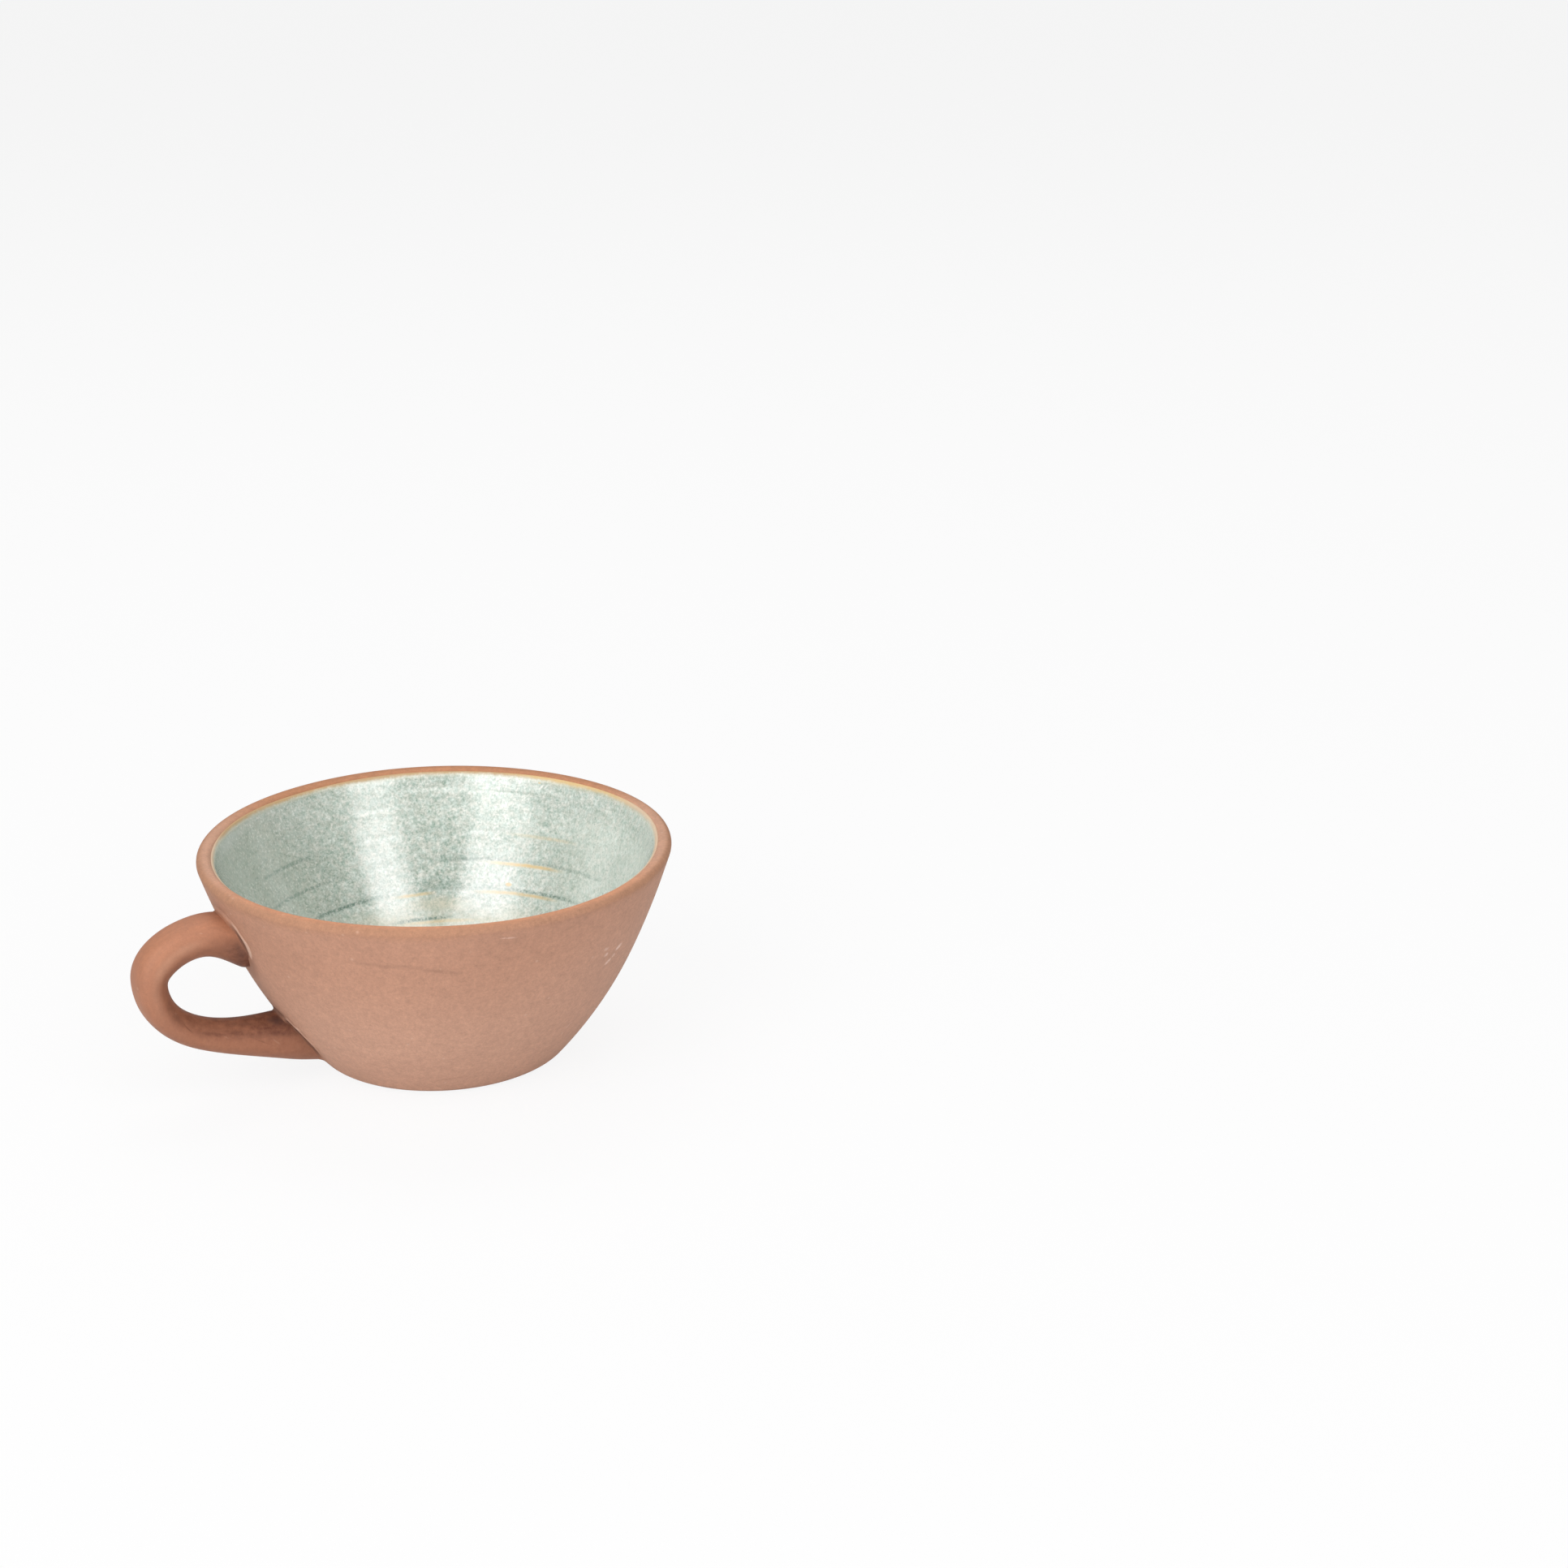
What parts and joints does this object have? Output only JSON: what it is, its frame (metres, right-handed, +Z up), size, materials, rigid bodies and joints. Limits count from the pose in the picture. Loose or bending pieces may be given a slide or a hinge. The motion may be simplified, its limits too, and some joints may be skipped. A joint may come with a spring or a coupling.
{
  "type": "clay tea cup",
  "caption": "Low, wide hand-thrown terracotta tea cup: bare pinkish clay outside, a pulled loop handle at the side and a speckled pale green glaze inside, for hot drinks.",
  "frame": {"origin": "centre of the standing base, on the table plane", "axes": "+Z up along the axis the cup was thrown on; the handle points to -X; the XZ plane halves the handle"},
  "size_m": [0.1477, 0.125, 0.058],
  "materials": {
    "bare_clay": "matte",
    "handle_clay": "smooth matte",
    "joining_slip": "matte",
    "green_glaze": "glossy"
  },
  "bodies": {
    "root": {"cup_body": "bare_clay", "glaze_lining": "green_glaze", "handle": "handle_clay", "upper_slip_seam": "joining_slip", "lower_slip_seam": "joining_slip"}
  },
  "joints": []
}
